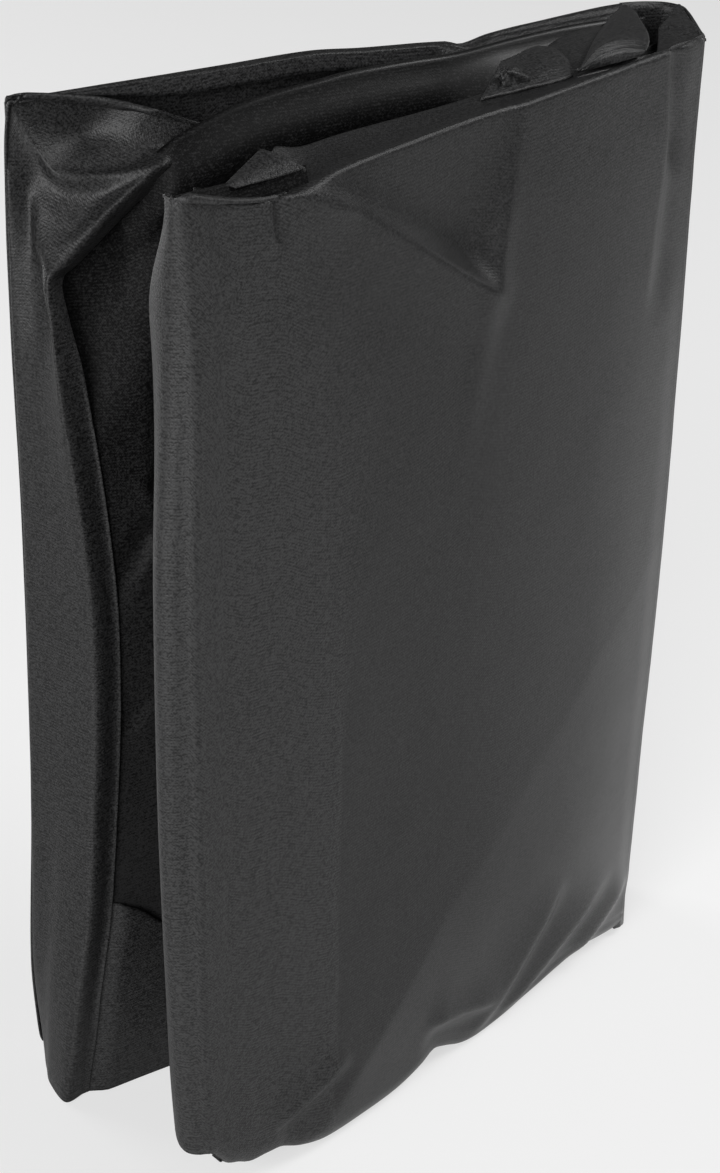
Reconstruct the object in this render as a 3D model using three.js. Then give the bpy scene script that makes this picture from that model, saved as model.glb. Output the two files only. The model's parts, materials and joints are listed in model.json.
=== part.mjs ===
import * as THREE from 'three';

// A barbecue cover of coated cloth, folded into a packet that stands on its edge.
// The packet is folded once more like a book: two leaves meet at an upright spine fold
// and stand open as a V. Each leaf is a stack of plies inside a wrapping sheet.
// Millimetres, +Z up. The V opens towards -X, the front leaf lies on the -Y side.

// Sizes of the packet
const packetHeight = 370;
const leafLength = 253;
const leafThickness = 21;
const openingDegrees = 18;
const clearance = 0.3;

// Sizes of the cloth
const sheetThickness = 2.2;
const plyGap = 0.5;
const bundleCount = 4;
const flapThickness = 1.4;

// Sizes of the folds that run round each leaf
const topFoldRadius = 4;
const bottomFoldRadius = 9;
const backThickness = 22;
const backLength = 247;
const backFootSpread = 12;
const creaseHeight = 3.2;
const creaseWidth = 11;
const creaseDepthLimit = 1;
const innerPlyThickness = 2.6;
const innerPlyBack = 4.7;
const waveDepth = 0.9;
const waveCount = 3;

const halfOpening = THREE.MathUtils.degToRad(openingDegrees / 2);

// The shades of the cloth: outer sheets, plies inside the packet, and loose corners that catch the light
const wrapShade = 0.05;
const plyShade = 0.045;
const looseShade = 0.06;

// A value read from a table of shares, straight between its rows
function followShares(shares, place) {
  const last = shares.length - 1;
  if (place <= shares[0][0]) return shares[0][1];
  if (place >= shares[last][0]) return shares[last][1];
  let index = 0;
  while (shares[index + 1][0] < place) index += 1;
  const [startPlace, startValue] = shares[index];
  const [endPlace, endValue] = shares[index + 1];
  const part = (place - startPlace) / (endPlace - startPlace);
  return startValue + (endValue - startValue) * part;
}

// Relief of the creases, each a straight ridge or valley that fades out sideways and at its ends
function creaseRelief(creases, along, up) {
  let relief = 0;
  for (const crease of creases) {
    const ax = crease.fromShares[0] * leafLength;
    const az = crease.fromShares[1] * packetHeight;
    const bx = crease.toShares[0] * leafLength;
    const bz = crease.toShares[1] * packetHeight;
    const length = Math.hypot(bx - ax, bz - az);
    const run = ((along - ax) * (bx - ax) + (up - az) * (bz - az)) / (length * length);
    const reached = THREE.MathUtils.clamp(run, 0, 1);
    const away = Math.hypot(along - ax - reached * (bx - ax), up - az - reached * (bz - az));
    const width = creaseWidth * crease.widthShare;
    relief += creaseHeight * crease.heightShare * Math.exp(-((away / width) ** 2));
  }
  return Math.max(relief, -creaseDepthLimit);
}

// A closed solid from two facing grids of points
function closedSolid(outer, inner) {
  const columns = outer.length;
  const rows = outer[0].length;
  const points = [outer, inner].flat(3);
  const triangles = [];
  const at = (layer, column, row) => (layer * columns + column) * rows + row;
  const quad = (a, b, c, d) => triangles.push(a, b, c, a, c, d);
  for (let i = 0; i < columns - 1; i += 1) {
    for (let j = 0; j < rows - 1; j += 1) {
      quad(at(0, i, j), at(0, i + 1, j), at(0, i + 1, j + 1), at(0, i, j + 1));
      quad(at(1, i, j), at(1, i, j + 1), at(1, i + 1, j + 1), at(1, i + 1, j));
    }
    quad(at(0, i, 0), at(1, i, 0), at(1, i + 1, 0), at(0, i + 1, 0));
    quad(at(0, i, rows - 1), at(0, i + 1, rows - 1), at(1, i + 1, rows - 1), at(1, i, rows - 1));
  }
  for (let j = 0; j < rows - 1; j += 1) {
    quad(at(0, 0, j), at(0, 0, j + 1), at(1, 0, j + 1), at(1, 0, j));
    quad(at(0, columns - 1, j), at(1, columns - 1, j), at(1, columns - 1, j + 1), at(0, columns - 1, j + 1));
  }
  return facingOut(points, triangles);
}

// The triangles are turned over where they would enclose a negative volume
function facingOut(points, triangles) {
  const corner = (index) => new THREE.Vector3().fromArray(points, index * 3);
  let volume = 0;
  for (let i = 0; i < triangles.length; i += 3) {
    const [a, b, c] = [corner(triangles[i]), corner(triangles[i + 1]), corner(triangles[i + 2])];
    volume += a.dot(b.cross(c));
  }
  if (volume < 0) triangles.reverse();
  const geometry = new THREE.BufferGeometry();
  geometry.setAttribute('position', new THREE.Float32BufferAttribute(points, 3));
  geometry.setIndex(triangles);
  geometry.computeVertexNormals();
  return geometry;
}

// A grid of points, with the shares of its width and height given to pointAt
function grid(columns, rows, pointAt) {
  const result = [];
  for (let i = 0; i <= columns; i += 1) {
    const column = [];
    for (let j = 0; j <= rows; j += 1) {
      column.push(pointAt(i / columns, j / rows));
    }
    result.push(column);
  }
  return result;
}

// Leaf frames: x runs from the spine to the mouth, y is outward on the front leaf and inward on the back
const FRONT = 1;
const BACK = -1;
const packet = new THREE.Group();
const frontLeaf = new THREE.Group();
const backLeaf = new THREE.Group();
frontLeaf.rotation.z = Math.PI + halfOpening;
backLeaf.rotation.z = Math.PI - halfOpening;
packet.add(frontLeaf, backLeaf);

function cloth(name, shade, geometry, parent) {
  const grey = new THREE.Color().setRGB(shade, shade, shade);
  const material = new THREE.MeshStandardMaterial({ color: grey, roughness: 0.62, metalness: 0 });
  const mesh = new THREE.Mesh(geometry, material);
  mesh.name = name;
  parent.add(mesh);
  return mesh;
}

// A wrapping sheet: over the top of the leaf, down its outer face and under its foot
const foldSteps = 3;
function wrapRing(wrap, along, inset, creased) {
  const top = wrap.top(along) - inset;
  const foot = wrap.foot(along) + inset;
  const out = wrap.thickness - inset;
  const topRadius = topFoldRadius - inset;
  const footRadius = bottomFoldRadius - inset;
  const faceTop = top - topRadius;
  const faceFoot = foot + footRadius;
  const ring = [[wrap.topReturn(along), top]];
  for (let k = 0; k <= foldSteps; k += 1) {
    const angle = (Math.PI / 2) * (1 - k / foldSteps);
    ring.push([out - topRadius + topRadius * Math.cos(angle), faceTop + topRadius * Math.sin(angle)]);
  }
  for (let k = 1; k < wrap.faceRows; k += 1) {
    ring.push([out, faceTop + (faceFoot - faceTop) * (k / wrap.faceRows)]);
  }
  for (let k = 0; k <= foldSteps; k += 1) {
    const angle = (Math.PI / 2) * (k / foldSteps);
    ring.push([out - footRadius + footRadius * Math.cos(angle), faceFoot - footRadius * Math.sin(angle)]);
  }
  ring.push([wrap.footReturn, foot]);
  if (!creased) return ring;
  return ring.map(([across, up], k) => {
    const onFace = k > 1 && k < ring.length - 2;
    return [across + (onFace ? creaseRelief(wrap.creases, along, up) : 0), up];
  });
}

function wrapSolid(side, wrap) {
  const span = wrap.mouthEnd - wrap.spineEnd;
  const sheet = (inset, creased) => {
    const columns = [];
    for (let i = 0; i <= wrap.columns; i += 1) {
      const along = wrap.spineEnd + span * (i / wrap.columns);
      const ring = wrapRing(wrap, along, inset, creased);
      columns.push(ring.map(([out, up]) => [along, side * out, up]));
    }
    return columns;
  };
  return closedSolid(sheet(0, true), sheet(sheetThickness, false));
}

// The plies inside a leaf: one long strip folded to and fro, drawn in plan as a ribbon and raised
function foldedStack(side, stack) {
  const pitch = stack.bundle + plyGap;
  const reach = stack.bundle + plyGap / 2;
  const start = stack.spineEnd + reach;
  const end = stack.mouthEnd - reach;
  const turnSteps = 5;
  const runSteps = 14;
  const left = [];
  const right = [];
  const put = (along, out, normalAlong, normalOut) => {
    const half = stack.bundle / 2;
    left.push([along + normalAlong * half, out + normalOut * half]);
    right.push([along - normalAlong * half, out - normalOut * half]);
  };
  for (let run = 0; run < bundleCount; run += 1) {
    const out = stack.inner + stack.bundle / 2 + run * pitch;
    const forward = run % 2 === 0;
    for (let k = 0; k <= runSteps; k += 1) {
      const share = forward ? k / runSteps : 1 - k / runSteps;
      put(start + (end - start) * share, out, 0, forward ? 1 : -1);
    }
    if (run === bundleCount - 1) continue;
    const centre = forward ? end : start;
    const sense = forward ? 1 : -1;
    for (let k = 1; k < turnSteps; k += 1) {
      const angle = Math.PI * (k / turnSteps);
      const swing = Math.sin(angle);
      const rise = Math.cos(angle);
      put(centre + sense * swing * pitch / 2, out + pitch / 2 - rise * pitch / 2, -swing, sense * rise);
    }
  }
  const raised = (height) => left.map((point, i) => {
    const edges = [point, right[i]];
    return edges.map(([along, out]) => [along, side * out, height(along)]);
  });
  return closedSolid(raised(stack.top), raised(stack.foot));
}

// Front leaf

// The top edge sags towards the mouth and rises again at the corner
const frontTopShares = [
  [0.05, 1.005], [0.3, 1], [0.64, 0.991], [0.8, 0.987], [0.87, 0.98], [0.93, 0.984], [1, 0.998],
];
// The bottom edge is flat and turns up at the mouth corner, where the cloth is rounded off
const frontFootShares = [[0.74, 0], [0.8, 0.006], [0.87, 0.022], [0.94, 0.046], [1, 0.066]];
// How far in the sheet comes over the top: a wide turned strip between the roll's end and the spine
const frontReturnShares = [
  [0.2, 0.74], [0.28, 0.5], [0.4, 0.3], [0.8, 0.17], [0.83, 0.17], [0.86, 0.74], [1, 0.74],
];
// The creases on the outer face, as shares of the leaf's length and of the packet's height
const frontCreases = [
  { fromShares: [0.83, 0.985], toShares: [0.67, 0.915], heightShare: 1, widthShare: 0.7 },
  { fromShares: [0.67, 0.915], toShares: [0.49, 0.838], heightShare: 0.9, widthShare: 0.8 },
  { fromShares: [0.46, 0.925], toShares: [0.5, 0.85], heightShare: 0.55, widthShare: 0.9 },
  { fromShares: [0.145, 0.99], toShares: [0.13, 0.92], heightShare: -0.6, widthShare: 0.7 },
  { fromShares: [0.75, 0.75], toShares: [0.76, 0.06], heightShare: 0.5, widthShare: 1.5 },
  { fromShares: [0.08, 0.48], toShares: [0.38, 0.32], heightShare: -0.3, widthShare: 1.8 },
  { fromShares: [0.38, 0.32], toShares: [0.69, 0.1], heightShare: -0.3, widthShare: 1.8 },
  { fromShares: [0.29, 0.11], toShares: [0.42, 0.04], heightShare: 0.9, widthShare: 0.6 },
  { fromShares: [0.17, 0.08], toShares: [0.34, 0.035], heightShare: 0.7, widthShare: 0.5 },
  { fromShares: [0.09, 0.06], toShares: [0.18, 0.035], heightShare: 0.6, widthShare: 0.5 },
  { fromShares: [0.44, 0.045], toShares: [0.54, 0.05], heightShare: 0.6, widthShare: 0.6 },
  { fromShares: [0.76, 0.085], toShares: [0.83, 0.072], heightShare: 0.7, widthShare: 0.6 },
];

const wrapSpineEndShare = 0.06;
const stackSpineEnd = 18;
const frontTop = (along) => packetHeight * followShares(frontTopShares, along / leafLength);
const frontReturn = (along) => leafThickness * followShares(frontReturnShares, along / leafLength);
const frontFoot = (along) => packetHeight * followShares(frontFootShares, along / leafLength);

// The wrap is one sheet: turned over the top, down the outer face and under the foot
function makeFrontWrap() {
  const wrap = {
    thickness: leafThickness,
    spineEnd: leafLength * wrapSpineEndShare,
    mouthEnd: leafLength,
    columns: 28,
    faceRows: 11,
    top: frontTop,
    foot: frontFoot,
    topReturn: frontReturn,
    footReturn: innerPlyThickness + waveDepth + clearance,
    creases: frontCreases,
  };
  cloth('front_wrap', wrapShade, wrapSolid(FRONT, wrap), frontLeaf);
}

// The folded plies fill the leaf between the wrap and the inner ply
function makeFrontStack() {
  const inner = innerPlyThickness + clearance;
  const outer = leafThickness - sheetThickness - clearance;
  const stack = {
    bundle: (outer - inner - plyGap * (bundleCount - 1)) / bundleCount,
    inner,
    spineEnd: stackSpineEnd,
    mouthEnd: leafLength - clearance,
    top: (along) => frontTop(along) - topFoldRadius - clearance,
    foot: (along) => frontFoot(along) + bottomFoldRadius + clearance,
  };
  cloth('front_ply_stack', plyShade, foldedStack(FRONT, stack), frontLeaf);
}

// The ply that faces the V, with the slow leaning waves of loose cloth
const waveLeanShare = 0.32;
function makeFrontInnerPly() {
  const surface = (depth) => grid(14, 8, (u, v) => {
    const along = stackSpineEnd + (leafLength - clearance - stackSpineEnd) * u;
    const foot = frontFoot(along);
    const top = frontTop(along) - topFoldRadius - clearance;
    const turns = waveCount * u + waveLeanShare * v;
    const wave = waveDepth * (1 - depth / innerPlyThickness) * (1 + Math.sin(2 * Math.PI * turns)) / 2;
    return [along, FRONT * (depth + wave), foot + (top - foot) * v];
  });
  cloth('front_inner_ply', plyShade, closedSolid(surface(0), surface(innerPlyThickness)), frontLeaf);
}

// The mouth end of the leaf, where the sheet is folded round the ends of the plies
const endBulge = 3.4;
const endFootRise = 13.5;
function makeFrontEndPanel() {
  const seat = leafLength + clearance;
  const foot = frontFoot(leafLength);
  const surface = (outer) => grid(6, 14, (u, v) => {
    const out = (leafThickness - clearance) * u;
    const lowest = foot + endFootRise * (1 - u);
    const up = lowest + (frontTop(leafLength) - topFoldRadius * (1 - u) - lowest) * v;
    const swell = endBulge * Math.sin(Math.PI * u) * Math.sqrt(Math.sin(Math.PI * v));
    return [seat + outer * (sheetThickness + swell), FRONT * out, up];
  });
  cloth('front_end_panel', wrapShade, closedSolid(surface(1), surface(0)), frontLeaf);
}

// At the mouth corner an inner ply shows above the sagging edge
const cornerPlyHeight = 8.5;
const cornerPlyStartShare = 0.905;
const cornerPlyEndShare = 0.55;
function makeFrontCornerPly() {
  const outer = frontReturn(leafLength) - clearance;
  const surface = (depth) => grid(8, 3, (u, v) => {
    const along = leafLength * (cornerPlyStartShare + (1 - cornerPlyStartShare) * u);
    const seat = frontTop(along) - topFoldRadius + clearance;
    const crownShare = cornerPlyEndShare + (1 - cornerPlyEndShare) * Math.sin(Math.PI * u);
    return [along, FRONT * (outer - depth), seat + cornerPlyHeight * crownShare * v];
  });
  cloth('front_corner_ply', wrapShade, closedSolid(surface(0), surface(sheetThickness)), frontLeaf);
}

// The turned strip ends in an open roll, and a three-cornered facet runs down from it to the edge
const rollLift = 4.2;
const rollEndShare = 0.842;
const facetEndShare = 0.94;
const facetInnerShares = [[0, 0.42], [1, 0.92]];
const facetFallShare = 0.5;
function makeFrontRollFacet() {
  const surface = (depth) => grid(7, 3, (u, v) => {
    const along = leafLength * (rollEndShare + (facetEndShare - rollEndShare) * u);
    const inner = leafThickness * followShares(facetInnerShares, u);
    const out = inner + (leafThickness - inner) * v;
    const lift = clearance + rollLift * (1 - u) * (1 - facetFallShare * v * v);
    return [along, FRONT * out, frontTop(along) + lift + depth];
  });
  cloth('front_roll_facet', plyShade, closedSolid(surface(flapThickness), surface(0)), frontLeaf);
}

// A loose corner of cloth stands up behind the turned strip
const cornerFlapRise = 6;
const cornerFlapReach = -4.5;
const cornerFlapSeat = 2.5;
const cornerFlapStartShare = 0.275;
const cornerFlapEndShare = 0.43;
const cornerFlapCutShare = 0.12;
const cornerFlapTaperShare = 0.5;
const cornerFlapPeakShare = 0.42;
function makeCornerFlap() {
  const width = leafLength * (cornerFlapEndShare - cornerFlapStartShare);
  const surface = (depth) => grid(10, 5, (u, v) => {
    const crown = Math.sin(Math.PI * (cornerFlapCutShare + (1 - 2 * cornerFlapCutShare) * u));
    const taper = cornerFlapTaperShare * v * v * (u - cornerFlapPeakShare);
    const along = leafLength * cornerFlapStartShare + width * (u - taper);
    const root = frontReturn(along) + cornerFlapSeat;
    const out = root + (cornerFlapReach - root) * v;
    const rise = cornerFlapRise * crown * Math.sin((Math.PI / 2) * v);
    return [along, FRONT * out, frontTop(along) + clearance + rise + depth];
  });
  cloth('corner_flap', looseShade, closedSolid(surface(flapThickness), surface(0)), frontLeaf);
}

// The crumpled end of a seam lies in front of that flap
const tuftLength = 11;
const tuftHeight = 6;
const tuftDepth = 5;
const tuftPlaceShare = 0.38;
const tuftForwardShare = 0.7;
const tuftGatherShare = 0.16;
const tuftGatherCount = 5;
function makeSeamTuft() {
  const ball = new THREE.SphereGeometry(1, 14, 9);
  const position = ball.getAttribute('position');
  const point = new THREE.Vector3();
  for (let i = 0; i < position.count; i += 1) {
    point.fromBufferAttribute(position, i);
    const ripple = Math.cos(tuftGatherCount * Math.atan2(point.y, point.x)) * (1 - Math.abs(point.z));
    const gather = 1 + tuftGatherShare * ripple;
    point.multiply(new THREE.Vector3(tuftLength * gather, tuftDepth * gather, tuftHeight)).divideScalar(2);
    position.setXYZ(i, ...point.toArray());
  }
  const mesh = cloth('seam_tuft', wrapShade, ball, frontLeaf);
  const along = leafLength * tuftPlaceShare;
  const out = frontReturn(along) + cornerFlapSeat + tuftDepth * tuftForwardShare;
  mesh.position.set(along, FRONT * out, frontTop(along) + clearance + tuftHeight / 2);
}

// Back leaf

// The outer band stands highest at the spine, dips once and runs level to the mouth
const backTopShares = [
  [0.06, 1.011], [0.1, 1.01], [0.19, 1.005], [0.29, 0.998], [0.34, 0.993], [0.37, 0.995],
  [0.5, 1], [0.58, 1.003], [0.71, 1], [0.85, 0.997], [1, 0.994],
];
// The folded edge of the inner ply: level near the spine, then falling away to the mouth
const ridgeTopShares = [
  [0.07, 1.005], [0.18, 1.004], [0.27, 0.999], [0.36, 0.994], [0.52, 0.988], [0.63, 0.982], [0.68, 0.972],
  [0.72, 0.964], [0.77, 0.95], [0.81, 0.932], [0.87, 0.911], [0.91, 0.884], [0.95, 0.862], [0.98, 0.849],
];
// The upright fold where the inner ply turns into the mouth end, by height
const ridgePlaceShares = [
  [0, 1.012], [0.1, 0.98], [0.22, 0.955], [0.45, 0.938],
  [0.6, 0.942], [0.75, 0.965], [0.85, 0.98], [1, 0.985],
];

const backTop = (along) => packetHeight * followShares(backTopShares, along / backLength);
const backFoot = () => 0;
const ridgeTop = (along) => packetHeight * followShares(ridgeTopShares, along / backLength);
const ridgePlace = (up) => backLength * followShares(ridgePlaceShares, up / packetHeight);
// The inner side spreads into the V towards the foot of the mouth end
const innerSide = (along, up) => -backFootSpread * ((along / backLength) ** 2) * (1 - up / packetHeight);

const backCreases = [
  { fromShares: [0.25, 0.95], toShares: [0.2, 0.45], heightShare: 0.4, widthShare: 2 },
  { fromShares: [0.62, 0.9], toShares: [0.7, 0.1], heightShare: 0.4, widthShare: 2 },
];

function makeBackWrap() {
  const wrap = {
    thickness: backThickness,
    spineEnd: leafLength * wrapSpineEndShare,
    mouthEnd: backLength,
    columns: 22,
    faceRows: 8,
    top: backTop,
    foot: backFoot,
    topReturn: () => backThickness - sheetThickness - topFoldRadius,
    footReturn: innerPlyBack + clearance,
    creases: backCreases,
  };
  cloth('back_wrap', wrapShade, wrapSolid(BACK, wrap), backLeaf);
}

// The stack in the back leaf stops short of the top, which leaves the dark hollow behind the inner ply
const hollowTopShares = [[0.1, 0.965], [0.4, 0.96], [0.6, 0.9], [0.75, 0.865], [1, 0.83]];
function makeBackStack() {
  const inner = innerPlyBack + clearance;
  const outer = backThickness - sheetThickness - clearance;
  const stack = {
    bundle: (outer - inner - plyGap * (bundleCount - 1)) / bundleCount,
    inner,
    spineEnd: stackSpineEnd,
    mouthEnd: ridgePlace(packetHeight / 2) - clearance,
    top: (along) => packetHeight * followShares(hollowTopShares, along / backLength),
    foot: () => bottomFoldRadius + clearance,
  };
  cloth('back_ply_stack', plyShade, foldedStack(BACK, stack), backLeaf);
}

// The ply that faces the V, its top edge folded into the long ridge
const backInnerCreases = [
  { fromShares: [0.82, 0.63], toShares: [0.83, 0.62], heightShare: -0.9, widthShare: 0.4 },
  { fromShares: [0.82, 0.58], toShares: [0.9, 0.51], heightShare: -0.9, widthShare: 0.5 },
  { fromShares: [0.7, 0.9], toShares: [0.74, 0.6], heightShare: 0.5, widthShare: 1.4 },
];
const plyTurnInset = 2.1;
function makeBackInnerPly() {
  const surface = (facing) => grid(20, 14, (u, v) => {
    const mouthEnd = ridgePlace(v * ridgeTop(backLength)) - plyTurnInset;
    const along = stackSpineEnd + (mouthEnd - stackSpineEnd) * u;
    const up = ridgeTop(along) * v;
    const relief = creaseRelief(backInnerCreases, along, up);
    const out = facing ? innerSide(along, up) - relief : innerPlyBack;
    return [along, BACK * out, up];
  });
  cloth('back_inner_ply', plyShade, closedSolid(surface(true), surface(false)), backLeaf);
}

// The mouth end of the back leaf: a sheet that turns from the inner ply to the outer wrap
const backEndBulge = 2.4;
const backEndTopShares = [0.846, 0.986];
const backEndLapShare = 0.2;
const backEndTurnShare = 0.455;
const backEndThinShare = 0.35;
function makeBackEndPanel() {
  const surface = (inset) => grid(7, 12, (u, v) => {
    const [lowShare, highShare] = backEndTopShares;
    const up = packetHeight * (lowShare + (highShare - lowShare) * Math.sqrt(u)) * v;
    const turn = Math.max(0, 1 - u / backEndTurnShare);
    const from = [ridgePlace(up) + plyTurnInset * backEndLapShare, innerSide(ridgePlace(up), up)];
    const to = [backLength + clearance + sheetThickness, backThickness - clearance];
    const swell = backEndBulge * Math.sin(Math.PI * u);
    const along = from[0] + (to[0] - from[0]) * Math.sqrt(u) + swell;
    const out = from[1] + (to[1] - from[1]) * u;
    return [along - inset * (1 - backEndThinShare * turn), BACK * (out + inset * turn), up];
  });
  cloth('back_end_panel', wrapShade, closedSolid(surface(0), surface(sheetThickness)), backLeaf);
}

// The corner of the inner cloth is laid back into a shallow bowl between the ridge and the hollow
const bowlLowShares = [[0, 0.962], [0.25, 0.925], [0.5, 0.88], [0.75, 0.82], [1, 0.745]];
const bowlHighShares = [[0, 0.99], [0.25, 0.925], [0.5, 0.865], [0.75, 0.81], [1, 0.745]];
const bowlRimShares = [[0, 0.99], [0.25, 0.991], [0.5, 0.984], [0.75, 0.975], [1, 0.965]];
const bowlDip = 3.5;
const bowlSideShare = 0.93;
const bowlDrawnShare = 0.75;
function makeCornerBowl() {
  const side = (backThickness - sheetThickness - topFoldRadius) * bowlSideShare;
  const surface = (depth) => grid(10, 6, (u, v) => {
    const lowAlong = backLength * followShares(bowlLowShares, u);
    const highAlong = backLength * followShares(bowlHighShares, u);
    const lowUp = ridgeTop(lowAlong) + clearance * 2;
    const highUp = packetHeight * followShares(bowlRimShares, u);
    const lowOut = innerSide(lowAlong, lowUp);
    const highOut = side * (1 - bowlDrawnShare * u * u);
    const dip = bowlDip * Math.sin(Math.PI * v) * Math.sin(Math.PI * u);
    const along = lowAlong + (highAlong - lowAlong) * v;
    const out = lowOut + (highOut - lowOut) * v;
    return [along, BACK * out, lowUp + (highUp - lowUp) * v - dip + depth];
  });
  cloth('back_corner_bowl', looseShade, closedSolid(surface(flapThickness), surface(0)), backLeaf);
}

// A hem lies along the foot of the inner ply
const hemTopShares = [[0.55, 0.12], [0.85, 0.172], [0.9, 0.196], [0.96, 0.215]];
const hemStartShare = 0.58;
const hemHeightShare = 0.2;
function makeBackHem() {
  const start = backLength * hemStartShare;
  const surface = (depth) => grid(8, 4, (u, v) => {
    const end = ridgePlace(packetHeight * hemHeightShare * v) - plyTurnInset;
    const along = start + (end - start) * u;
    const up = packetHeight * followShares(hemTopShares, along / backLength) * v;
    return [along, BACK * (innerSide(along, up) - clearance - depth), up];
  });
  cloth('back_hem_fold', wrapShade, closedSolid(surface(flapThickness), surface(0)), backLeaf);
}

// A point of a leaf's own frame, seen in the plan of the whole packet
function leafPoint(leaf, along, across) {
  return new THREE.Vector2(along, across).rotateAround(new THREE.Vector2(), leaf.rotation.z);
}

// Spine: one sheet runs from the front leaf round the fold to the back leaf and is hollow inside
const spinePlanShares = [[-0.2, -0.52], [0.22, 0.16], [0.44, 0.62], [0.24, 0.98], [-0.2, 1.12]];
const spineTopShares = [[0, 1.003], [0.4, 1.003], [0.7, 1.006], [1, 1.01]];
function makeSpineWrap() {
  const wrapStart = leafLength * wrapSpineEndShare - clearance;
  const frontEdge = leafPoint(frontLeaf, wrapStart - sheetThickness, FRONT * leafThickness);
  const backEdge = leafPoint(backLeaf, wrapStart, BACK * backThickness);
  const middle = spinePlanShares.map(([x, y]) => new THREE.Vector2(x, y).multiplyScalar(leafThickness));
  const line = new THREE.SplineCurve([frontEdge, ...middle, backEdge]);
  const surface = (inset) => grid(18, 8, (u, v) => {
    const point = line.getPoint(u);
    const tangent = line.getTangent(u);
    const top = packetHeight * followShares(spineTopShares, u);
    const up = clearance + (top - clearance) * v;
    return [point.x - tangent.y * inset, point.y + tangent.x * inset, up];
  });
  cloth('spine_wrap', wrapShade, closedSolid(surface(0), surface(sheetThickness)), packet);
}

// A three-cornered tongue of cloth lies across the top of the fold, from the back leaf to the front one
const tongueSeatLift = 0.6;
const tongueArch = 2;
const tongueEdgeArchShare = 0.4;
const tongueBackShares = [[0.07, 0.78], [0.11, 0.6]];
const tongueFrontShares = [[0.15, 0.6], [0.25, 0.5]];
function makeTongueFlap() {
  const edge = (leaf, side, thickness, shares) => shares.map(([along, across]) => (
    leafPoint(leaf, leafLength * along, side * thickness * across)));
  const [backNear, backFar] = edge(backLeaf, BACK, backThickness, tongueBackShares);
  const [frontNear, frontFar] = edge(frontLeaf, FRONT, leafThickness, tongueFrontShares);
  const seat = backTop(leafLength * wrapSpineEndShare) + tongueSeatLift;
  const tipSeat = frontTop(0) + tongueSeatLift;
  const surface = (depth) => grid(6, 8, (u, v) => {
    const tip = frontNear.clone().lerp(frontFar, u);
    const place = backNear.clone().lerp(backFar, u).lerp(tip, v);
    const crownShare = tongueEdgeArchShare + (1 - tongueEdgeArchShare) * Math.sin(Math.PI * u);
    const arch = tongueArch * Math.sin(Math.PI * v) * crownShare;
    return [place.x, place.y, seat + (tipSeat - seat) * v + arch + depth];
  });
  cloth('tongue_flap', looseShade, closedSolid(surface(flapThickness), surface(0)), packet);
}

makeFrontWrap();
makeFrontStack();
makeFrontInnerPly();
makeFrontEndPanel();
makeFrontCornerPly();
makeFrontRollFacet();
makeCornerFlap();
makeSeamTuft();
makeBackWrap();
makeBackStack();
makeBackInnerPly();
makeBackEndPanel();
makeCornerBowl();
makeBackHem();
makeSpineWrap();
makeTongueFlap();

// The packet stands centred over its own footprint
packet.updateMatrixWorld(true);
const footprint = new THREE.Box3().setFromObject(packet, true);
const centre = footprint.getCenter(new THREE.Vector3());
const part = new THREE.Group();
packet.position.set(-centre.x, -centre.y, -footprint.min.z);
part.add(packet);

export default part;
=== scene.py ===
import json
from math import cos, exp, log, pi, radians, sin

import bmesh
import bpy
from mathutils import Matrix, Vector, noise


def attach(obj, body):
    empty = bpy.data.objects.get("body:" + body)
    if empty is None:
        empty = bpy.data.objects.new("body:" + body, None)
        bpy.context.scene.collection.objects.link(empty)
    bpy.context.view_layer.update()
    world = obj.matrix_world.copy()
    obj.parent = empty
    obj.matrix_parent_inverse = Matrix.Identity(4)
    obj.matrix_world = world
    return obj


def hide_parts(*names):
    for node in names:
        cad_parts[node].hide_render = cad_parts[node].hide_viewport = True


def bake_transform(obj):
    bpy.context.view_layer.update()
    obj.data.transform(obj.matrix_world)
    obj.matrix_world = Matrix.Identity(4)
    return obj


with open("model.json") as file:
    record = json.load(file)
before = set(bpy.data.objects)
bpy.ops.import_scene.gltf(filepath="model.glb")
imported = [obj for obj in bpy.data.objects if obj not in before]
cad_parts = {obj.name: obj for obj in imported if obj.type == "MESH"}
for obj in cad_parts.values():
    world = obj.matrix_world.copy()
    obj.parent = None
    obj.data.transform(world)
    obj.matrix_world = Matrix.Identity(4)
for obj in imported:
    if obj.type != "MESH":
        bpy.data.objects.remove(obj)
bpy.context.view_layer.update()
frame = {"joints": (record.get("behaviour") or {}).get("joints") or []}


# Front wrap
# The body panel's sheet round the front leaf: coated woven polyester, turned over the top edge,
# down the outer face and under the foot. It is held by its own folds and lies on the plies.
HALF_OPENING = radians(9)
FOLD_PLACE = Vector(frame["joints"][0]["pos_m"])
FRONT, BACK = -1, 1
PACKET_HEIGHT = 0.370
LEAF_LENGTH = 0.253
LEAF_THICKNESS = 0.021
CLOTH_THICKNESS = 0.0009
WEAVE_PITCH, WEAVE_DEPTH = 0.0011, 0.00016
FLOOR_GAP = 0.0003

FRONT_TOP = [(0.05, 1.005), (0.3, 1), (0.64, 0.991), (0.78, 0.987), (0.87, 0.979), (0.93, 0.984),
             (1, 0.998)]
FRONT_FOOT = [(0, 0.010), (0.06, 0.009), (0.12, 0.014), (0.18, 0.020), (0.24, 0.016), (0.30, 0.009),
              (0.36, 0.003), (0.42, 0), (0.47, 0.003), (0.51, 0.014), (0.54, 0.020), (0.575, 0.012),
              (0.63, 0.003), (0.70, 0.001), (0.78, 0.003), (0.83, 0.013), (0.87, 0.026), (0.905, 0.030),
              (0.94, 0.034), (0.97, 0.052), (1, 0.066)]
FRONT_RETURN = [(0, 0.95), (0.15, 0.93), (0.21, 0.78), (0.26, 0.57), (0.4, 0.3), (0.6, 0.2),
                (0.75, 0.17), (0.815, 0.26), (0.845, 0.42), (0.862, 0.86), (1, 0.9)]
MOUTH_CORNER = [(0, 0.982), (0.15, 0.998), (0.32, 1.002), (0.66, 1.002), (0.84, 0.996), (1, 1.012)]


def smooth(start, end, value):
    share = min(1, max(0, (value - start) / (end - start)))
    return share * share * (3 - 2 * share)


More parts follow.
